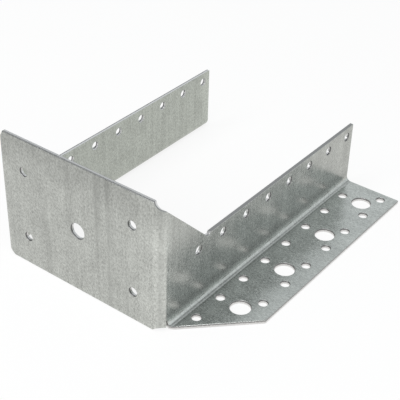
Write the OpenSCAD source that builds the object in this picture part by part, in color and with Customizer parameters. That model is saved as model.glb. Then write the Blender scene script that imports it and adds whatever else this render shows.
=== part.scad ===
// Face-fixed joist hanger, folded from one punched blank of galvanised sheet.
// It lies on the backs of its two header flanges. X runs across the joist, Y runs up
// the header from the seat to the open end, and Z stands out of the header face.
// The origin is in the header face, under the middle of the hanger.

/* [Joist pocket] */
// Width of the joist that the hanger carries
joist_w = 100; // [80:1:140]
// Free play left between the joist and the two side plates
joist_play = 3; // [0:0.5:4]
// How far the seat stands out from the header
seat_depth = 76.5; // [68:0.5:100]
// Height of the hanger, from under the seat to the open end
hanger_h = 175.5; // [110:0.5:260]
// Width of the side plates above their slanted edge
side_w = 40.5; // [38:0.5:60]
// Width of each header flange, from the outer face of its side plate
flange_w = 35; // [34:0.5:50]

/* [Sheet] */
// Thickness of the sheet
sheet_t = 2; // [1.5:0.1:2.5]
// Inside radius of the folds between the seat and the side plates
fold_r = 2.5; // [2:0.1:3.5]
// Inside radius of the folds between the side plates and the flanges
flange_fold_r = 3.2; // [2.5:0.1:3.8]
// Width of the notch at each upper corner, seen square to the middle of the fold
notch_w = 5.2; // [4.5:0.1:6.5]
// How far each notch runs down to the slanted edge of its side plate
notch_h = 6.2; // [5:0.1:7]
// Radius of the hollow edge of a notch
notch_r = 7.4; // [6:0.1:10]
// Radius of the relief where a slanted edge meets a straight one
relief_r = 2.3; // [2:0.1:3]
// Depth of the relief below the straight edge
relief_depth = 1.2; // [0.6:0.1:1.5]
// How far the relief's middle lies past the corner, along the straight edge
relief_shift = 1.7; // [0.5:0.1:2]
// Width left at the foot of each flange, before its slanted edge
toe_w = 0.5; // [0.5:0.1:3]
// Height of the hollow at the foot of each corner fold
hollow_h = 2.3; // [1.5:0.1:3]
// Radius of that hollow
hollow_r = 4.4; // [3.8:0.1:6]
// Width of the slit between each corner fold and the flange's fold
slit_w = 0.5; // [0.3:0.1:1]
// Diameter of the round end of that slit
slit_end_d = 1; // [1:0.1:1.5]

/* [Nail holes] */
// Diameter of the nail holes
nail_d = 5; // [3:0.1:5.5]
// Distance between the holes of a row
nail_pitch = 20; // [16:0.5:30]
// Distance from the open end to the nearest holes
end_gap = 6.3; // [6:0.1:10]
// Distance from the front edge of a side plate to its row
side_row_gap = 6; // [6:0.1:12]
// Distance from a side plate to the inner row of its flange
inner_row = 7; // [6.5:0.1:8]
// Distance from the outer edge of a flange to the outer row
outer_row_gap = 8.5; // [6:0.1:9.5]
// Least metal between a hole and a fold or a slanted edge
hole_web = 3; // [2.5:0.1:5]

/* [Bolt holes] */
// Diameter of the bolt holes in the flanges
bolt_d = 11; // [9:0.5:12]
// Distance from the outer edge of a flange to its bolt holes
bolt_row_gap = 15.5; // [14.5:0.1:16.5]

/* [Seat holes] */
// Distance from each side plate to the nail holes of the seat
seat_nail_side = 15.75; // [10:0.25:20]
// Height of the lower nail holes of the seat above the header
seat_nail_low = 17.5; // [12:0.5:20]
// Distance between the lower and the upper nail holes of the seat
seat_nail_rise = 40; // [30:0.5:42]
// Diameter of the hole in the middle of the seat
seat_hole_d = 9; // [6:0.5:12]

/* [Hidden] */
$fn = 96;
zinc = [0.67, 0.69, 0.68];
over = 1;                                     // how far a cutter runs past the metal
corner_turn = 45;                             // turn to the middle of a corner fold
notch_run = 0.4;                              // how far past the fold a notch ends

pocket_w = joist_w + joist_play;              // clear width between the side plates
inner_x = pocket_w / 2;                       // inner face of a side plate
outer_x = inner_x + sheet_t;                  // outer face of a side plate
flange_x = outer_x + flange_w;                // outer edge of a flange
bend_r = fold_r + sheet_t;                    // outside radius of the corner folds
flange_bend_r = flange_fold_r + sheet_t;      // outside radius of the flanges' folds

// The slanted edges run at 45 degrees from the folds to the straight edges.
slant_top = seat_depth - notch_h + notch_run; // height of a side plate's slant at the fold
side_slant = slant_top - side_w;              // its length along Y and along Z
flange_slant = flange_w - toe_w;              // the flange's slant along X and Y

// Rows of holes are set out from the open end, and hold as many holes as fit.
end_row_y = hanger_h - end_gap;
mid_row_y = end_row_y - nail_pitch / 2;
side_row_z = side_w - side_row_gap;
inner_row_x = outer_x + inner_row;
outer_row_x = flange_x - outer_row_gap;
bolt_row_x = flange_x - bolt_row_gap;
bolt_pitch = 2 * nail_pitch;
seat_nail_x = inner_x - seat_nail_side;
seat_hole_z = seat_nail_low + seat_nail_rise / 2;

// Lowest place on a flange for a hole of diameter d in the row at x: its web to
// the slanted edge is measured square to that edge.
function flange_row_foot(x, d) =
    bend_r + (x - outer_x - toe_w) + (d / 2 + hole_web) * sqrt(2);

// Lowest place on a side plate for a hole of diameter d
function side_row_foot(d) = bend_r + d / 2 + hole_web;

// Y of the holes of a row that starts at last_y and runs down to foot_y
function row(last_y, foot_y, pitch) = [for (y = last_y; y >= foot_y; y = y - pitch) y];

// A quarter of a ring around the origin, in the quadrant of +X and +Y, as thick as the sheet
module quarter_ring(inside_r) {
    intersection() {
        difference() {
            circle(r = inside_r + sheet_t);
            circle(r = inside_r);
        }
        square(inside_r + sheet_t + over);
    }
}

// One half of the plan of the seat and its side plate, from the middle outwards
module half_plan() {
    square([outer_x - bend_r, sheet_t]);
    translate([outer_x - bend_r, bend_r])
        mirror([0, 1]) quarter_ring(fold_r);
    translate([inner_x, bend_r])
        square([sheet_t, hanger_h - bend_r]);
}

// Section of a flange and the fold that joins it to its side plate
module flange_section() {
    translate([outer_x + flange_fold_r, flange_bend_r])
        mirror([1, 0]) mirror([0, 1]) quarter_ring(flange_fold_r);
    translate([outer_x + flange_fold_r, 0])
        square([flange_w - flange_fold_r, sheet_t]);
}

// What is cut off a side plate, seen from the side: the metal past its slanted and
// straight front edges, with a round relief in the corner between them
module side_offcut() {
    polygon([
        [bend_r - over, seat_depth + over],
        [bend_r - over, slant_top + over],
        [bend_r + side_slant, side_w],
        [hanger_h + over, side_w],
        [hanger_h + over, seat_depth + over]
    ]);
    translate([bend_r + side_slant + relief_shift, side_w + relief_r - relief_depth])
        circle(r = relief_r);
}

// Carries a flat shape to a corner fold and cuts it through, square to the fold's middle.
// The shape's x runs across the fold from its middle, and its y is the height.
module through_fold() {
    translate([outer_x - bend_r / 2, bend_r / 2, 0])
        rotate([90, 0, corner_turn]) linear_extrude(2 * bend_r, center = true) children();
}

// The notch at the upper end of a corner fold: a circle through the notch's two ends,
// whose middle lies square off the line between them
module notch() {
    translate([(bend_r + notch_run) / sqrt(2) - notch_w / 2, seat_depth - notch_h / 2])
        rotate(atan2(notch_w, notch_h))
            translate([sqrt(notch_r ^ 2 - (notch_w ^ 2 + notch_h ^ 2) / 4), 0])
                circle(r = notch_r);
}

// The hollow at the foot of a corner fold
module foot_hollow() {
    translate([0, hollow_h - hollow_r]) circle(r = hollow_r);
}

// The round end of the slit between a corner fold and the flange's fold
module slit_end() {
    translate([inner_x - over, bend_r + slit_w / 2, flange_bend_r])
        rotate([0, 90, 0]) cylinder(d = slit_end_d, h = sheet_t + 2 * over);
}

// Half of the channel: the seat, the fold and the side plate above the flange's fold
module half_channel() {
    difference() {
        linear_extrude(seat_depth) half_plan();
        translate([inner_x - bend_r, 0, 0])
            rotate([90, 0, 90]) linear_extrude(2 * bend_r) side_offcut();
        translate([inner_x - over, bend_r, -over])
            cube([sheet_t + 2 * over, hanger_h, flange_bend_r + over]);
        through_fold() notch();
        through_fold() foot_hollow();
        slit_end();
    }
}

// One flange with its fold, cut to its slanted edge, above the slit at its foot
module flange() {
    difference() {
        translate([0, hanger_h, 0])
            rotate([90, 0, 0]) linear_extrude(hanger_h - bend_r - slit_w) flange_section();
        translate([outer_x + toe_w, bend_r, -over])
            linear_extrude(sheet_t + 2 * over)
                polygon([
                    [0, 0],
                    [-over, -over],
                    [flange_slant + over, -over],
                    [flange_slant + over, flange_slant + over]
                ]);
        slit_end();
    }
}

// Holes of one flange
module flange_holes() {
    for (y = row(mid_row_y, flange_row_foot(inner_row_x, nail_d), nail_pitch))
        translate([inner_row_x, y, -over]) cylinder(d = nail_d, h = sheet_t + 2 * over);
    for (y = row(end_row_y, flange_row_foot(outer_row_x, nail_d), nail_pitch))
        translate([outer_row_x, y, -over]) cylinder(d = nail_d, h = sheet_t + 2 * over);
    for (y = row(mid_row_y, flange_row_foot(bolt_row_x, bolt_d), bolt_pitch))
        translate([bolt_row_x, y, -over]) cylinder(d = bolt_d, h = sheet_t + 2 * over);
}

// Holes of one side plate
module side_holes() {
    for (y = row(end_row_y, side_row_foot(nail_d), nail_pitch))
        translate([inner_x - over, y, side_row_z])
            rotate([0, 90, 0]) cylinder(d = nail_d, h = sheet_t + 2 * over);
}

// Holes of the seat to one side of its middle
module seat_nail_holes() {
    for (z = [seat_nail_low, seat_nail_low + seat_nail_rise])
        translate([seat_nail_x, -over, z])
            rotate([-90, 0, 0]) cylinder(d = nail_d, h = sheet_t + 2 * over);
}

// The right half of the hanger, with its holes
module half_hanger() {
    difference() {
        union() {
            half_channel();
            flange();
        }
        flange_holes();
        side_holes();
        seat_nail_holes();
    }
}

module hanger_sheet() {
    color(zinc)
        translate([0, -hanger_h / 2, 0])
            difference() {
                union() {
                    half_hanger();
                    mirror([1, 0, 0]) half_hanger();
                }
                translate([0, -over, seat_hole_z])
                    rotate([-90, 0, 0]) cylinder(d = seat_hole_d, h = sheet_t + 2 * over);
            }
}

hanger_sheet();
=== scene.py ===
# %% [markdown]
# # A joist hanger, folded from one sheet
# A joist hanger carries the end of a floor joist. A machine punches a flat blank out of
# galvanised coil and folds it four times: two folds turn the side plates up from the seat, and
# two turn the header flanges out. This script makes the visual model in the same order. It lays
# out the blank, rounds its sheared edges, and folds it with one formula.

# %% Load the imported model
import math

import bpy
import numpy as np
from mathutils import Matrix, Vector
from mathutils.geometry import delaunay_2d_cdt


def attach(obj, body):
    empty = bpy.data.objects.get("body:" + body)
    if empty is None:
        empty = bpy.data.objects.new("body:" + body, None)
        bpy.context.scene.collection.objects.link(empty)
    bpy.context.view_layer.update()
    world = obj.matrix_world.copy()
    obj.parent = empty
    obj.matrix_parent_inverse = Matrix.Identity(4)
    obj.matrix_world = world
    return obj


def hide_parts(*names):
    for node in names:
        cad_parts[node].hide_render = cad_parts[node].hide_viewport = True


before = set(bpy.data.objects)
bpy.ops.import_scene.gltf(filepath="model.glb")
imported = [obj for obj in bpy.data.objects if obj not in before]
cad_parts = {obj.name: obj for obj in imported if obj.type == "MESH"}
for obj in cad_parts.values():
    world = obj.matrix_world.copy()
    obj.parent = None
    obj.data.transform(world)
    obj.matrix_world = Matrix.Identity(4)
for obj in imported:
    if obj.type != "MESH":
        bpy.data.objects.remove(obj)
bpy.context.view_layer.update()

# %% [markdown]
# ## Sizes
# All sizes are in millimetres, as on a sheet-metal drawing, and become metres only when a mesh
# is made. Heights y run from under the seat to the open end, and z stands out of the header.
# A fold takes up material along the middle of the sheet, so its length in the flat blank is a
# quarter circle of that middle radius. SLANT is how far a side plate's slanted edge runs, both
# up the header and out of it, from the corner fold to the straight edge.

# %% Sizes of the hanger
MM = 0.001
SHEET = 2.0
HALF = SHEET / 2
TURN = math.pi / 2
FOLD_R = 2.5
OUT_R = FOLD_R + SHEET
MID_R = FOLD_R + HALF
FLANGE_FOLD_R = 3.2
FLANGE_OUT_R = FLANGE_FOLD_R + SHEET
FLANGE_MID_R = FLANGE_FOLD_R + HALF
INNER_X = 51.5
OUTER_X = INNER_X + SHEET
FLANGE_X = OUTER_X + 35.0
HEIGHT = 175.5
SEAT_Z = 76.5
SIDE_Z = 40.5
SLANT = 30.2
NAIL_R, BOLT_R, SEAT_HOLE_R, PITCH = 2.5, 5.5, 4.5, 20.0

# %% [markdown]
# ## The flat blank
# The blank is a strip. Its coordinate s runs along it from the middle of the seat, and w runs
# across it, from the flanges' outer edges to the seat's front edge. On the seat and the side
# plates w is the height z itself, so only the flange and its fold need a change of coordinate.
# A slit at the foot of each flange frees it from the corner fold, and TOE is the width of the
# flange that is left there.

# %% Places along and across the blank
SEAT_S = OUTER_X - OUT_R
SIDE_S = SEAT_S + MID_R * TURN
END_S = SIDE_S + HEIGHT - OUT_R
FOLD_W = FLANGE_OUT_R
FLANGE_W = FOLD_W - FLANGE_MID_R * TURN
SLIT, SLIT_END_R, TOE = 0.5, 0.5, 0.5


def s_of(y):
    """Place along the blank of height y on a side plate or flange."""
    return SIDE_S + y - OUT_R


def w_of(x):
    """Place across the blank of distance x from the hanger's middle, on a flange."""
    return FLANGE_W - (x - OUTER_X - FLANGE_FOLD_R)


EDGE_W = w_of(FLANGE_X)
print(f"blank {2 * END_S:.1f} x {SEAT_Z - EDGE_W:.1f} x {SHEET:.1f} mm")

# %% [markdown]
# ## The folding formula
# Every point of the blank has s, w and h, its place above the middle of the sheet. The corner
# fold turns the strip through an angle that grows from 0 to 90 degrees over its arc, and the
# flange's fold does the same across the strip. Each fold could be a Simple Deform modifier, but
# a formula bends the sheet only at the folds and leaves the plates exactly flat.


# %% Fold the blank
def fold(s, w, h):
    """Folded place, in mm, of points of the blank.
    Along the strip: straight, then a quarter circle of radius MID_R, then straight up. Across
    it, the flange leans out from the side plate's normal on a quarter circle of radius
    FLANGE_MID_R, then runs straight. h is added along the folded normal."""
    a, side = np.abs(s), np.where(s < 0, -1.0, 1.0)
    turn = np.clip((a - SEAT_S) / MID_R, 0, TURN)
    x = np.minimum(a, SEAT_S) + MID_R * np.sin(turn)
    y = OUT_R - MID_R * np.cos(turn) + np.maximum(a - SIDE_S, 0)
    on_flange = (a > SIDE_S + SLIT / 2) & (w < FOLD_W)
    lean = np.where(on_flange, np.clip((FOLD_W - w) / FLANGE_MID_R, 0, TURN), 0)
    out = FLANGE_MID_R * (1 - np.cos(lean)) + np.where(on_flange, np.maximum(FLANGE_W - w, 0), 0)
    z = np.where(on_flange, FOLD_W - FLANGE_MID_R * np.sin(lean), w)
    off = out + h * np.cos(lean)
    across, up = side * (x + off * np.sin(turn)), y - off * np.cos(turn) - HEIGHT / 2
    return np.stack([across, up, z + h * np.sin(lean)], axis=-1)


def folded_normals(blank, normal):
    """Unit normals of the folded skin. Two small steps along the skin of the blank, at right
    angles to its normal and to each other, are folded, and their cross product is the normal."""
    aside = np.where(np.abs(normal[:, 2:]) < 0.9, [[0, 0, 1]], [[0, 1, 0]])
    one = np.cross(aside, normal)
    one /= np.linalg.norm(one, axis=1, keepdims=True)
    two = np.cross(normal, one)
    step = 1e-3
    here = fold(*blank.T)
    n = np.cross(fold(*(blank + step * one).T) - here, fold(*(blank + step * two).T) - here)
    return n / np.linalg.norm(n, axis=1, keepdims=True)


far_corner = fold(np.array([END_S]), np.array([SIDE_Z]), np.array([0.0]))[0]
print("the side plate's far corner folds to, mm:", far_corner.round(2).tolist())

# %% [markdown]
# ## Outline and holes
# The outline is made of straight cuts and arcs, joined into one closed loop with the metal on
# its left. Where a cut crosses a fold it gets extra points, so that it bends smoothly. The
# notches and hollows at the corner folds are arcs seen square to the middle of the fold, so
# they are laid out on that plane and unrolled. A boolean cut could make them on the folded
# sheet, but then the sheared edge could not be carried along them.

# %% Lines of the outline
BEND_LINES = np.linspace(SEAT_S, SIDE_S, 17)
FOLD_LINES = np.linspace(FLANGE_W, FOLD_W, 17)
CORNER_R = 0.42


def cut(a, b, step=4.0):
    """Points of the straight cut from a to b: even steps, and one point on each bending line
    that the cut crosses."""
    a, b = np.array(a, float), np.array(b, float)
    t = [np.linspace(0, 1, max(2, int(np.hypot(*(b - a)) / step) + 2))]
    for axis, lines in ((0, BEND_LINES), (1, FOLD_LINES)):
        if abs(b[axis] - a[axis]) > 1e-6:
            t.append((lines - a[axis]) / (b[axis] - a[axis]))
    t = np.unique(np.round(np.clip(np.concatenate(t), 0, 1), 6))
    apart = np.diff(t) * np.hypot(*(b - a)) > 0.02
    t = np.append(t[:-1][apart], 1)
    return a + t[:, None] * (b - a)


def arc(centre, radius, start, stop, count):
    """Points of an arc between two angles in degrees."""
    t = np.radians(np.linspace(start, stop, count))
    return np.array(centre) + radius * np.stack([np.cos(t), np.sin(t)], axis=-1)


def corner(before, after):
    """Both lines without their last and first bit, and the fillet of radius CORNER_R that joins
    them. It is tangent to both: it starts where a circle of that radius touches the first line,
    and turns by the angle between them. Lines that meet nearly straight get no fillet."""
    p = before[-1]
    for reach in (0.05, 3.0):
        before = before[np.hypot(*(before - p).T) > min(reach, 2 * CORNER_R) * 0.9]
        after = after[np.hypot(*(after - p).T) > min(reach, 2 * CORNER_R) * 0.9]
        d1, d2 = (v / np.hypot(*v) for v in (p - before[-1], after[0] - p))
        turn = math.atan2(d1[0] * d2[1] - d1[1] * d2[0], float(d1 @ d2))
        if abs(turn) < math.radians(12):
            return before, after, p[None]
    length = CORNER_R * math.tan(abs(turn) / 2)
    before = before[np.hypot(*(before - p).T) > length + 0.05]
    after = after[np.hypot(*(after - p).T) > length + 0.05]
    side = math.copysign(1, turn) * np.array([-d1[1], d1[0]])
    t = np.linspace(0, abs(turn), 7)[:, None]
    return before, after, (p - length * d1 + CORNER_R * (1 - np.cos(t)) * side
                           + CORNER_R * np.sin(t) * d1)


def joined(parts):
    """One line through the parts, each of which starts where the last one ended."""
    line = [parts[0]]
    for part in parts[1:]:
        before, after, bend = corner(line[-1], part)
        line[-1:] = [before, bend, after]
    return np.vstack(line)


def unrolled(across, z, radius):
    """Blank coordinates of points on a corner fold, from their distance across it, seen square
    to its middle, and their height. On the skin of that radius, the distance is the radius
    times the sine of the angle from the middle, and past the fold the plates lean away at 45
    degrees."""
    edge = radius / math.sqrt(2)
    angle = TURN / 2 + np.arcsin(np.clip(across, -edge, edge) / radius)
    past = np.where(np.abs(across) > edge, math.sqrt(2) * (across - np.sign(across) * edge), 0)
    return np.stack([SEAT_S + MID_R * angle + past, z], axis=-1)


def foot_hollow():
    """Hollow at the foot of a corner fold: the part of a circle above the seat's back edge."""
    top, r = 2.3, 4.4
    start = -math.sqrt(r**2 - (r - top) ** 2)
    across = np.linspace(start, OUT_R / math.sqrt(2), 26)
    return unrolled(across, top - r + np.sqrt(r**2 - across**2), OUT_R)


def notch():
    """Notch at the top of a corner fold, laid out on the inside of the fold: an arc from the
    line of the slanted edge up to the seat's front edge."""
    r, centre = 7.4, np.array([5.61, SEAT_Z + 0.89])
    across = np.array([1.0, -1.735])
    start, stop = np.pi + np.arccos((centre[0] - across) / r)
    t = np.linspace(start, stop, 24)
    return unrolled(centre[0] + r * np.cos(t), centre[1] + r * np.sin(t), FOLD_R)


def relief():
    """Round relief in the corner between the slanted and the straight edge of a side plate. Its
    middle lies past the corner, and the arc runs from where its circle meets the straight edge
    to where it meets the slanted one."""
    r, depth, shift = 2.3, 1.2, 1.7
    rise = r - depth
    start = -math.degrees(math.asin(rise / r))
    stop = -135 - math.degrees(math.acos((shift + rise) / math.sqrt(2) / r))
    return arc((s_of(OUT_R + SLANT) + shift, SIDE_Z + rise), r, start, stop, 18)


def heel():
    """The flange's slanted edge where it runs over the fold: at 45 degrees in plan, unrolled."""
    x = np.linspace(OUTER_X + TOE + SLIT, OUTER_X + FLANGE_FOLD_R, 10)
    lean = np.arccos((OUTER_X + FLANGE_FOLD_R - x) / FLANGE_MID_R)
    return np.stack([SIDE_S + x - OUTER_X - TOE, FOLD_W - FLANGE_MID_R * lean], axis=-1)


def right_half():
    """The outline's right half, from the middle of the back edge to that of the front edge."""
    foot, top, bite, slant = foot_hollow(), notch(), relief(), heel()
    neck = FOLD_W - math.sqrt(SLIT_END_R**2 - (SLIT / 2) ** 2)
    slit_end = arc((SIDE_S + SLIT / 2, FOLD_W), SLIT_END_R, 240, -60, 18)
    shoulder = (s_of(OUT_R + FLANGE_X - OUTER_X - TOE), EDGE_W)
    end = ((END_S, EDGE_W), (END_S, SIDE_Z))
    slant_top = (SIDE_S, SIDE_Z + SLANT)
    return joined([
        cut((0, 0), foot[0]), foot, cut(foot[-1], (SIDE_S, neck), 0.6), slit_end,
        cut((SIDE_S + SLIT, neck), slant[0], 0.6), slant, cut(slant[-1], shoulder),
        cut(shoulder, end[0]), cut(*end), cut(end[1], bite[0]), bite,
        cut(bite[-1], slant_top), cut(slant_top, top[0]), top, cut(top[-1], (0, SEAT_Z)),
    ])


def mirrored(line):
    """The line on the other half of the blank, turned round so that its metal stays left."""
    return (line * [-1, 1])[::-1]


half = right_half()
outline = np.vstack([half, mirrored(half)[1:-1]])
print("outline points:", len(outline), "closest pair, mm:",
      round(float(np.hypot(*(np.roll(outline, -1, axis=0) - outline).T).min()), 3))


# %% Holes of the blank
def hole(s, w, r):
    """A round hole, run clockwise so that the metal is on its left."""
    return arc((s, w), r, 360, 0, 41 if r == NAIL_R else 65)[:-1]


def row(last, foot, step):
    """Heights of a row of holes, from the open end down."""
    return np.arange(last, foot, -step)


END_ROW, MID_ROW = HEIGHT - 6.3, HEIGHT - 16.3
right_holes = (
    [hole(s_of(y), SIDE_Z - 6, NAIL_R) for y in row(END_ROW, 20, PITCH)]
    + [hole(s_of(y), w_of(OUTER_X + 7), NAIL_R) for y in row(MID_ROW, 10, PITCH)]
    + [hole(s_of(y), w_of(FLANGE_X - 8.5), NAIL_R) for y in row(END_ROW, 40, PITCH)]
    + [hole(s_of(y), w_of(FLANGE_X - 15.5), BOLT_R) for y in row(MID_ROW, 30, 2 * PITCH)]
    + [hole(INNER_X - 15.75, z, NAIL_R) for z in (17.5, 57.5)]
)
holes = right_holes + [mirrored(h) for h in right_holes] + [hole(0, 37.5, SEAT_HOLE_R)]
print("holes:", len(holes))

# %% [markdown]
# ## Sheared edges
# A punch rounds the sheet on the side it enters, shears a bright band, then tears the rest and
# leaves a fine burr. That is a profile carried along every loop: its points say how far to go
# into the metal and how high above the middle of the sheet. A Bevel modifier would round both
# sides alike.

# %% Carry the edge's profile along every loop
ROLL, ROLL_DEPTH, BURR, INSET = 0.35, 0.40, 0.06, 0.38


def edge_profile():
    """Columns: distance into the metal, height, and the outward normal's two parts.
    A quarter ellipse for the rolled side, a straight wall, and a tiny one for the burr."""
    t = np.radians(np.linspace(90, 0, 6))
    rolled = np.stack([ROLL * (1 - np.cos(t)), HALF - ROLL_DEPTH * (1 - np.sin(t)),
                       np.cos(t) / ROLL, np.sin(t) / ROLL_DEPTH], axis=-1)
    t = t[::-1]
    burr = np.stack([BURR * (1 - np.cos(t)), -HALF + BURR * (1 - np.sin(t)),
                     np.cos(t), -np.sin(t)], axis=-1)
    wall = np.array([[0, 0.1, 1, 0], [0, -0.4, 1, 0]])
    p = np.vstack([[[INSET, HALF, 0, 1]], rolled, wall, burr, [[INSET, -HALF, 0, -1]]])
    p[:, 2:] /= np.linalg.norm(p[:, 2:], axis=1, keepdims=True)
    return p


def edge_normals(loop):
    """Normal out of the metal at each point of a loop, and how much longer it is at a corner."""
    ahead = np.roll(loop, -1, axis=0) - loop
    ahead /= np.linalg.norm(ahead, axis=1, keepdims=True)
    n = np.stack([ahead[:, 1], -ahead[:, 0]], axis=-1)
    both = n + np.roll(n, 1, axis=0)
    both /= np.linalg.norm(both, axis=1, keepdims=True)
    return both, 1 / np.maximum((both * n).sum(1), 0.4)


profile = edge_profile()
loops = [outline] + holes


def carried(loop):
    """The profile carried along one loop: blank coordinates and normals on a grid."""
    n, longer = edge_normals(loop)
    into = profile[:, None, 0] * longer[None, :]
    flat = loop[None] - into[..., None] * n[None]
    high = np.broadcast_to(profile[:, None, 1], into.shape)
    normal = np.concatenate([profile[:, None, 2:3] * n[None],
                             np.broadcast_to(profile[:, None, 3:4], (*into.shape, 1))], axis=-1)
    return np.concatenate([flat, high[..., None]], axis=-1), normal


rims = [carried(loop) for loop in loops]
print("points in the edge's profile:", len(profile), "loops:", len(loops))

# %% [markdown]
# ## Filling the plates
# Both faces of the sheet are the same flat drawing: the outline with its holes. A constrained
# Delaunay triangulation fills it and keeps every rim as an edge. Points on the bending lines of
# the folds go in too, because only there does the sheet curve.


# %% Fill the flat drawing
def inside(points, loop):
    """Whether each point lies inside a loop: a ray from it crosses the loop an odd number of
    times."""
    a, b = loop, np.roll(loop, -1, axis=0)
    s, w = points[:, :1], points[:, 1:]
    spans = (a[:, 1] > w) != (b[:, 1] > w)
    rise = np.where(b[:, 1] == a[:, 1], 1, b[:, 1] - a[:, 1])
    crossing = s < a[:, 0] + (w - a[:, 1]) / rise * (b - a)[:, 0]
    return (spans & crossing).sum(axis=1) % 2 == 1


def fold_grid(rings):
    """Points on the bending lines of all four folds, clear of every edge."""
    corner_grid = np.meshgrid(BEND_LINES, np.linspace(1, SEAT_Z - 1, 44), indexing="ij")
    flange_grid = np.meshgrid(np.linspace(SIDE_S + 1, END_S - 1, 112), FOLD_LINES, indexing="ij")
    p = np.vstack([np.stack(g, axis=-1).reshape(-1, 2) for g in (corner_grid, flange_grid)])
    edge = rings[0][rings[0][:, 0] > 0]
    clear = np.hypot(*(p[:, None] - edge[None]).transpose(2, 0, 1)).min(axis=1) > 0.5
    p = p[clear & inside(p, rings[0])]
    return np.vstack([p, p * [-1, 1]])


rings = [grid[0, :, :2] for grid, _ in rims]
first = np.cumsum([0] + [len(ring) for ring in rings])
ring_edges = np.vstack([
    np.stack([k + np.arange(len(r)), k + (np.arange(len(r)) + 1) % len(r)], axis=-1)
    for k, r in zip(first, rings)
])
grid_points = fold_grid(rings)
flat = np.vstack(rings + [grid_points])
found, _, faces, origin, *_ = delaunay_2d_cdt(
    [Vector(p) for p in flat], ring_edges.tolist(), [], 1, 1e-6
)
assert len(found) == len(flat), "two edges of the drawing cross"
face = np.array([o[0] for o in origin])[np.array(faces)]
centre = flat[face].mean(axis=1)
for ring in rings[1:]:
    middle = ring.mean(axis=0)
    face = face[np.hypot(*(centre - middle).T) > np.hypot(*(ring[0] - middle))]
    centre = flat[face].mean(axis=1)
a, b, c = (flat[face[:, k]] for k in range(3))
clockwise = (b - a)[:, 0] * (c - a)[:, 1] < (b - a)[:, 1] * (c - a)[:, 0]
face[clockwise] = face[clockwise][:, ::-1]
print("triangles in one face:", len(face))

# %% [markdown]
# ## One closed mesh
# The rims and the two faces share their vertices, so the sheet is one closed skin. Normals
# come from the same formula as the shape, which keeps the plates free of shading errors next
# to the rounded edges. The UV map is the blank's own s and w, so the grain of the zinc runs
# through the folds as it does on the real sheet. Two attributes tell the finish where it is:
# "cut" is 0 on the skins and 1 on a sheared wall, or 2 inside a hole, and "through" runs from
# -1 on the inner skin to 1 on the outer one. A worn stretch of edge counts as torn metal.

# %% Assemble the sheet
UV_MM = 100.0
rows = len(profile)
rim_start = np.cumsum([0] + [rows * len(ring) for ring in rings])
blank, blank_normal, quads = [], [], []
for k, (grid, normal) in zip(rim_start, rims):
    n = grid.shape[1]
    i, r = np.meshgrid(np.arange(n), np.arange(rows - 1))
    j = (i + 1) % n
    quads.append(np.stack([k + r * n + i, k + (r + 1) * n + i, k + (r + 1) * n + j, k + r * n + j],
                          axis=-1).reshape(-1, 4))
    blank.append(grid.reshape(-1, 3))
    blank_normal.append(normal.reshape(-1, 3))
outer, inner = [], []
for k, ring in zip(rim_start, rings):
    outer.append(k + np.arange(len(ring)))
    inner.append(k + (rows - 1) * len(ring) + np.arange(len(ring)))
count = len(grid_points)
outer.append(rim_start[-1] + np.arange(count))
inner.append(rim_start[-1] + count + np.arange(count))
for h in (HALF, -HALF):
    blank.append(np.column_stack([grid_points, np.full(count, h)]))
    blank_normal.append(np.tile([0, 0, math.copysign(1, h)], (count, 1)))
blank, blank_normal, quads = (np.vstack(a) for a in (blank, blank_normal, quads))
outer, inner = np.concatenate(outer), np.concatenate(inner)

points = fold(*blank.T) * MM
normals = folded_normals(blank, blank_normal)
mesh = bpy.data.meshes.new("folded_sheet")
skins = outer[face].tolist() + inner[face][:, ::-1].tolist()
mesh.from_pydata(points, [], quads.tolist() + skins)
mesh.polygons.foreach_set("use_smooth", np.ones(len(mesh.polygons), bool))
mesh.normals_split_custom_set_from_vertices(normals)

corner_vertex = np.zeros(len(mesh.loops), np.int32)
mesh.loops.foreach_get("vertex_index", corner_vertex)
uv = mesh.uv_layers.new(name="blank")
uv.data.foreach_set("uv", (blank[corner_vertex, :2] / UV_MM).ravel())
index = np.arange(len(blank))
in_hole = (index >= rim_start[1]) & (index < rim_start[-1])
worn_shear = (blank[:, 0] > SIDE_S + 20) & (blank[:, 1] > SIDE_Z - 1)
for name, values in (
    ("cut", np.hypot(*blank_normal.T[:2]) * np.where(in_hole, 2, 1)),
    ("through", blank[:, 2] / HALF + np.where(worn_shear, 1.2, 0)),
):
    carrier = mesh.attributes.new(name, "FLOAT", "POINT")
    carrier.data.foreach_set("value", values.astype(np.float32))

sheet = bpy.data.objects.new("folded_sheet", mesh)
bpy.context.scene.collection.objects.link(sheet)
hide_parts("hanger_sheet")
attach(sheet, "root")
print("faces:", len(mesh.polygons), "triangles:", 2 * len(quads) + 2 * len(face))

# %% [markdown]
# ## Shader maths
# Shader formulas are written as ordinary arithmetic. A small class wraps one output of a node,
# and each operator on it adds a Math node. One method adds any other node.


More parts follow.
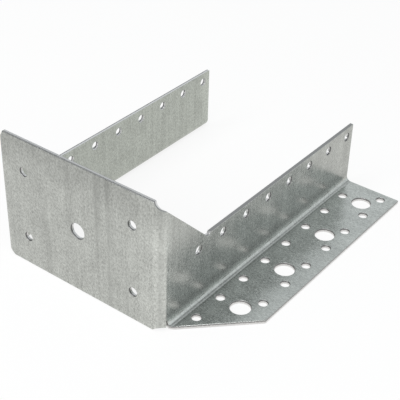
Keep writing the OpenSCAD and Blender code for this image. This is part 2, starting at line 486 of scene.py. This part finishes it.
# %% A small language for shader nodes
class Value:
    """One output of a shader node. Arithmetic on it adds Math nodes."""

    def __init__(self, tree, out=None):
        self.tree, self.out = tree, out

    def node(self, kind, settings=(), inputs=(), output=None):
        """Adds a node: its settings first, then its inputs by name or number. Returns one of its
        outputs, the first one in use if none is named."""
        node = self.tree.nodes.new(kind)
        for name, value in dict(settings).items():
            setattr(node, name, value)
        for key, value in dict(inputs).items():
            socket = (node.inputs[key] if isinstance(key, int)
                      else next(s for s in node.inputs if s.enabled and s.name == key))
            if isinstance(value, Value):
                self.tree.links.new(value.out, socket)
            else:
                socket.default_value = value
        if not node.outputs:
            return node
        out = node.outputs[output] if output else next(s for s in node.outputs if s.enabled)
        return Value(self.tree, out)

    def maths(self, operation, *values):
        return self.node("ShaderNodeMath", {"operation": operation}, dict(enumerate(values)))

    def __add__(self, other):
        return self.maths("ADD", self, other)

    def __sub__(self, other):
        return self.maths("SUBTRACT", self, other)

    def __rsub__(self, other):
        return self.maths("SUBTRACT", other, self)

    def __mul__(self, other):
        return self.maths("MULTIPLY", self, other)

    def __truediv__(self, other):
        return self.maths("DIVIDE", self, other)

    def __rtruediv__(self, other):
        return self.maths("DIVIDE", other, self)

    def __pow__(self, other):
        return self.maths("POWER", self, other)

    __radd__, __rmul__ = __add__, __mul__

    def limit(self, low=0.0, high=1.0):
        """The value, kept between low and high."""
        return self.maths("MINIMUM", self.maths("MAXIMUM", self, low), high)

    def ramp(self, low, high):
        """0 below low, 1 above high, and a smooth step between them."""
        return self.node("ShaderNodeMapRange", {"interpolation_type": "SMOOTHSTEP"},
                         {"Value": self, "From Min": low, "From Max": high})

    def mix(self, a, b):
        """Colour a where this value is 0, b where it is 1."""
        return self.node("ShaderNodeMix", {"data_type": "RGBA"}, {"Factor": self, "A": a, "B": b})

    def spot(self, name):
        """Another output of the same node."""
        return Value(self.tree, self.out.node.outputs[name])


def new_tree(owner):
    """An empty node tree of a material or world, as the start of a formula."""
    owner.use_nodes = True
    owner.node_tree.nodes.clear()
    return Value(owner.node_tree)


def grey(level, tint=(1.0, 1.0, 1.0)):
    """A constant colour."""
    return (*(level * t for t in tint), 1.0)


# %% [markdown]
# ## Galvanised finish
# The zinc froze on the steel in fine grains. Each grain reflects slightly more or less, which is
# what makes the metal look frosted. Clouds come from the uneven thickness of the zinc, and
# streaks from the rollers of the coil, which ran across the strip. Noise in space would cut
# through the folds, so all of it is laid out on the blank, in millimetres.

# %% Patterns in the zinc
zinc = bpy.data.materials.new("galvanised_sheet")
v = new_tree(zinc)
sheet_uv = v.node("ShaderNodeUVMap", {"uv_map": "blank"})


def noise(along, across, detail=2.0, rough=0.5, seed=0.0):
    """Noise on the blank, about 0 on average, with grains of this size in mm along s and w."""
    place = v.node("ShaderNodeMapping", {"vector_type": "POINT"},
                   {"Vector": sheet_uv, "Location": (seed, seed, seed),
                    "Scale": (UV_MM / along, UV_MM / across, 1.0)})
    return v.node("ShaderNodeTexNoise", {"noise_dimensions": "2D"},
                  {"Vector": place, "Scale": 1.0, "Detail": detail, "Roughness": rough}) - 0.5


grain = noise(1.0, 1.5, 3.0, 0.65)
clouds = noise(8.0, 12.0, 3.0, 0.6, 7.0)
streaks = noise(2.5, 60.0, 2.0, 0.5, 13.0)
columns = noise(6.0, 300.0, 1.0, 0.5, 21.0).ramp(0.02, 0.25)
bands = noise(5.0, 300.0, 1.0, 0.5, 5.0)
ragged = noise(0.8, 0.8, 1.0, 0.5, 3.0)
print("nodes of the patterns:", len(zinc.node_tree.nodes))

# %% [markdown]
# ## Where the finish and the painted light change
# Each mask below is 1 in one place of the sheet and 0 elsewhere, with a smooth step over some
# millimetres of the blank. Some of them carry the real finish, and some carry painted light and
# shade.


# %% Masks on the sheet
def attribute(name):
    """A value that the mesh carries at its vertices."""
    return v.node("ShaderNodeAttribute", {"attribute_name": name}, output="Fac")


cut_edge, through = attribute("cut"), attribute("through")
wall, pierced = cut_edge.ramp(0.55, 0.9), cut_edge.ramp(1.2, 1.8)
outside, inside_skin = through.ramp(0.2, 0.8), 1 - through.ramp(-0.8, -0.2)
split = v.node("ShaderNodeSeparateXYZ", {}, {"Vector": sheet_uv}, "X")
along, across = split * UV_MM, split.spot("Y") * UV_MM
away = v.maths("ABSOLUTE", along)

on_side = away.ramp(SIDE_S - 3, SIDE_S + 1)
on_flange = 1 - across.ramp(FLANGE_W - 0.5, FLANGE_W + 0.5)
on_fold = across.ramp(FLANGE_W - 2, FLANGE_W) * (1 - across.ramp(FOLD_W, FOLD_W + 2))
# past_fold places painted shade on the side plates just past the flange's fold.
past_fold = across.ramp(FOLD_W - 0.5, FOLD_W + 1) * (1 - across.ramp(FOLD_W + 1, FOLD_W + 9))
# near_corner and on_corner place a painted sheen beside the right corner fold and a painted
# highlight on the fold itself.
near_corner = along.ramp(SEAT_S - 20, SEAT_S) * (1 - along.ramp(SIDE_S, SIDE_S + 20))
on_corner = along.ramp(SEAT_S - 1, SEAT_S + 1) * (1 - along.ramp(SIDE_S + 1, SIDE_S + 6))
# near_front places painted shade towards the seat's front edge.
near_front = across.ramp(SEAT_Z - 22.5, SEAT_Z - 2.5)
front_edge = across.ramp(SEAT_Z - 0.6, SEAT_Z - 0.4)
near_end = away.ramp(END_S - 60, END_S - 25) * inside_skin
# at_end places painted light on the inner skins' last 12 mm at the open end.
at_end = away.ramp(END_S - 12, END_S) * inside_skin
print("corner fold on the blank, mm:", round(SEAT_S, 2), "to", round(SIDE_S, 2))

# %% [markdown]
# ## Colour of the metal
# The skins share one pale zinc colour, a shade lighter outside than inside. The patterns and
# the masks only make it lighter or darker, and much of that is painted light and shade: a
# painted highlight on the right corner fold with a weaker painted sheen beside it, painted
# shade on the side plates' outer faces just past the flange's fold, painted shade towards the
# seat's front edge, side plates painted darker and flanges lighter than the seat for how each
# faces the light, and painted light at the open end of the inner skins. A sheared wall is bare
# steel in two bands with a ragged line between them, dull towards the outer skin and bright
# towards the inner one. In the holes the dull band is painted darker, as painted shade, and the
# seat's front edge has a dimmer bright band with a dark line along its inner rim.

# %% Zinc, bare steel and painted light
OUTSIDE, INSIDE = (0.542, 0.562, 0.542, 1.0), (0.522, 0.556, 0.517, 1.0)
# Inside the holes the dull band of the wall is painted darker, as painted shade.
DULL, DULL_WITH_HOLE_SHADE = grey(0.38), grey(0.25)
# The seat's front edge has a dimmer bright band and a dark line along its inner rim.
BRIGHT, BRIGHT_FRONT, DARK_RIM_LINE = grey(0.85), grey(0.72), grey(0.3)

# The zinc's patterns, and painted light on the inner skins at the open end.
pattern_and_end_light = (1 + (1.1 - 0.15 * on_side) * grain + 0.35 * clouds + 0.25 * streaks
           - 0.14 * columns * (1 - on_side) * (1 + 4 * grain)
           + 0.35 * bands * near_end + 0.14 * at_end)
# Painted shade past the flange's fold on the side plates' outer faces, a painted sheen and
# highlight at the right corner fold, and painted shade towards the seat's front edge.
painted_light_and_shade = ((1 - 0.22 * past_fold * on_side * outside)
           * (1 + 0.10 * near_corner + 0.14 * on_corner) * (1 - 0.15 * near_front))
# Painted light: the side plates are painted darker and the flanges lighter than the seat, for how
# each plate faces the light.
plates = 1.04 - 0.08 * on_side + 0.21 * on_flange
skin = v.node("ShaderNodeVectorMath", {"operation": "SCALE"},
              {"Vector": inside_skin.mix(OUTSIDE, INSIDE), "Scale": pattern_and_end_light * painted_light_and_shade * plates})
dull = (through + 0.5 * ragged).ramp(0.0, 0.2)
front = through.ramp(-0.95, -0.8).mix(DARK_RIM_LINE, BRIGHT_FRONT)
steel = dull.mix(front_edge.mix(BRIGHT, front), pierced.mix(DULL, DULL_WITH_HOLE_SHADE))
colour = wall.mix(skin, steel)
print("nodes with the colour:", len(zinc.node_tree.nodes))

# %% [markdown]
# ## Gloss and relief of the zinc
# Zinc is a fairly smooth metal, so it mirrors its surroundings softly. The grains stand out by
# a few thousandths of a millimetre. Folding also leaves each plate slightly bowed next to the
# flange's fold. The bow is under a millimetre, so it is a second, wide bump on flat plates.

# %% Surface of the sheet
BOW, BOW_TOP = 0.0017, 28.0
rough = (0.28 + 0.25 * grain + 0.15 * clouds + 0.17 * wall
         - 0.08 * on_fold * on_side - 0.02 * on_side * outside).limit(0.15, 0.6)
fine = v.node("ShaderNodeBump", {}, {"Height": grain + 0.6 * clouds, "Strength": 0.12,
                                     "Distance": 0.0001}, "Normal")
short = BOW_TOP - across.limit(FOLD_W, BOW_TOP)
bowed = v.node("ShaderNodeBump", {}, {"Height": -BOW * short * short, "Strength": 1.0,
                                      "Distance": 0.001, "Normal": fine}, "Normal")
surface = v.node("ShaderNodeBsdfPrincipled", {},
                 {"Base Color": colour, "Metallic": 1.0, "Roughness": rough, "Normal": bowed})
v.node("ShaderNodeOutputMaterial", {}, {"Surface": surface})
mesh.materials.append(zinc)
print("nodes in the zinc:", len(zinc.node_tree.nodes))

# %% [markdown]
# ## Floor
# The hanger lies on white paper. Metal shows what stands around it, so the floor looks different
# to the camera and to the metal: white to the camera, a little darker and warmer in reflections.
# A part of it stays plain matt paper, which keeps a trace of the shadow.

# %% Floor
REACH, DROP = 6.0, 0.0003
WARM_PAPER = (0.78, 0.766, 0.743, 1.0)
floor_mesh = bpy.data.meshes.new("floor")
corners = np.array([[-1, -1, 0], [1, -1, 0], [1, 1, 0], [-1, 1, 0]]) * REACH - [0, 0, DROP]
floor_mesh.from_pydata(corners, [], [(0, 1, 2, 3)])
floor = bpy.data.objects.new("floor", floor_mesh)
bpy.context.scene.collection.objects.link(floor)
paper = bpy.data.materials.new("paper")
v = new_tree(paper)
ray = v.node("ShaderNodeLightPath")
camera_ray = ray.spot("Is Camera Ray")
mirrored_ray = (ray.spot("Is Glossy Ray") + ray.spot("Is Transmission Ray")).limit()
matt = v.node("ShaderNodeBsdfDiffuse", {}, {"Color": grey(0.9)})
glow = v.node("ShaderNodeEmission", {},
              {"Color": camera_ray.mix(WARM_PAPER, grey(1.0)), "Strength": 1.0})
share = (0.84 * camera_ray + 0.85 * mirrored_ray).limit()
both = v.node("ShaderNodeMixShader", {}, {0: share, 1: matt, 2: glow})
v.node("ShaderNodeOutputMaterial", {}, {"Surface": both})
floor_mesh.materials.append(paper)
print("floor, m:", 2 * REACH, "square")

# %% [markdown]
# ## Studio around the hanger
# The camera sees plain white behind the hanger. The metal sees a pale room: a brighter wall on
# the right, a dimmer ceiling that comes down lower on that side, and a dark room in front, over
# the floor. These give the plates their different tones, which an even sky would not.

# %% Studio
PLAIN, BRIGHTER, DIMMER, DARK = 0.68, 0.20, 0.30, 0.75
studio = bpy.data.worlds.new("studio")
bpy.context.scene.world = studio
v = new_tree(studio)
ray = v.node("ShaderNodeLightPath")
seen = (ray.spot("Is Camera Ray") + ray.spot("Is Transmission Ray")).limit()
toward = v.node("ShaderNodeTexCoord", output="Generated")


def facing(x, y, z):
    """How far a direction agrees with this one: 1 straight at it, -1 away from it."""
    n = np.array([x, y, z]) / np.linalg.norm([x, y, z])
    return v.node("ShaderNodeVectorMath", {"operation": "DOT_PRODUCT"},
                  {0: toward, 1: tuple(n)}, "Value")


height, right = facing(0, 0, 1), facing(1, 0, 0).ramp(0.13, 0.33)
in_front = facing(0, -1, 0.3).ramp(-0.1, 0.5) * height.ramp(0.05, 0.3)
low, high = height.ramp(0.49, 0.60), height.ramp(0.74, 0.90)
wall, ceiling = right * (1 - low), right * low + (1 - right) * high
level = (PLAIN + BRIGHTER * wall - DIMMER * ceiling) * (1 - DARK * in_front)
around = v.node("ShaderNodeBackground", {},
                {"Color": (0.965, 1.0, 1.015, 1.0), "Strength": level})
white = v.node("ShaderNodeBackground", {}, {"Color": grey(1.0), "Strength": 1.0})
both = v.node("ShaderNodeMixShader", {}, {0: seen, 1: around, 2: white})
v.node("ShaderNodeOutputWorld", {}, {"Surface": both})
print("nodes in the studio:", len(studio.node_tree.nodes))

# %% [markdown]
# ## Lamp
# One large softbox in front and above gives the floor its soft shadow. A small lamp would leave
# glare on the zinc.

# %% Softbox
SOFTBOX, TARGET = Vector((0.2, -1.3, 1.9)), Vector((0, 0, 0.03))
lamp = bpy.data.lights.new("softbox", "AREA")
lamp.size, lamp.energy = 2.4, 60.0
softbox = bpy.data.objects.new("softbox", lamp)
bpy.context.scene.collection.objects.link(softbox)
turned = (SOFTBOX - TARGET).to_track_quat("Z", "Y")
softbox.matrix_world = Matrix.Translation(SOFTBOX) @ turned.to_matrix().to_4x4()
print("softbox, m away:", round((SOFTBOX - TARGET).length, 2))

# %% [markdown]
# ## Camera
# The camera stands in front and to the right, and looks down over the seat's right corner. It
# is turned about its own axis by a small roll. Its three axes are worked out from the azimuth,
# the elevation and the roll, because a Track To constraint would leave out the roll.

# %% Camera
AZIMUTH, ELEVATION, ROLL_ANGLE = (math.radians(a) for a in (36.73, 34.36, 1.63))
AIM, DISTANCE = np.array([23.34, -18.57, 30.0]) * MM, 543.4 * MM
SENSOR, LENS = 36.0, 92.03
level_back = np.array([math.sin(AZIMUTH), -math.cos(AZIMUTH), 0.0])
back = math.cos(ELEVATION) * level_back + [0, 0, math.sin(ELEVATION)]
right = np.array([math.cos(AZIMUTH), math.sin(AZIMUTH), 0.0])
up = np.cross(back, right)
axes = [math.cos(ROLL_ANGLE) * right + math.sin(ROLL_ANGLE) * up,
        math.cos(ROLL_ANGLE) * up - math.sin(ROLL_ANGLE) * right, back]
lens = bpy.data.cameras.new("camera")
lens.sensor_width, lens.lens = SENSOR, LENS
camera = bpy.data.objects.new("camera", lens)
bpy.context.scene.collection.objects.link(camera)
matrix = np.eye(4)
matrix[:3, :3] = np.array(axes).T
matrix[:3, 3] = AIM + back * DISTANCE
camera.matrix_world = Matrix(matrix.tolist())
bpy.context.scene.camera = camera
bpy.context.scene.view_settings.view_transform = "Standard"
print("camera at, m:", [round(float(c), 3) for c in matrix[:3, 3]])
